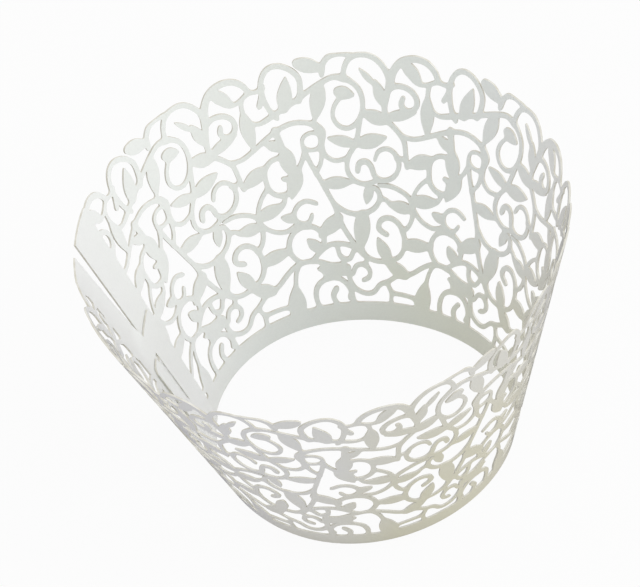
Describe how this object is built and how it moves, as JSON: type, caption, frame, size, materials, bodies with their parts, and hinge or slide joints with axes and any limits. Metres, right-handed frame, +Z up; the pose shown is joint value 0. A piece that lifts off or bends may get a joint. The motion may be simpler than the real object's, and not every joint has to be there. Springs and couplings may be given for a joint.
{
  "type": "cupcake wrapper",
  "caption": "Open conical cupcake wrapper of laser-cut pearl card: vine scrollwork lace with a scalloped rim, plain foot band and a tab-and-slit seam.",
  "frame": {"origin": "centre of the narrow foot rim, on the surface it stands on", "axes": "+Z up along the cone's axis, towards the wide scalloped rim; the seam is at 169 degrees anticlockwise from +X"},
  "size_m": [0.0803, 0.0802, 0.048],
  "materials": {
    "pearl_card": "satin"
  },
  "bodies": {
    "root": {"lace_wrapper": "pearl_card"}
  },
  "joints": []
}
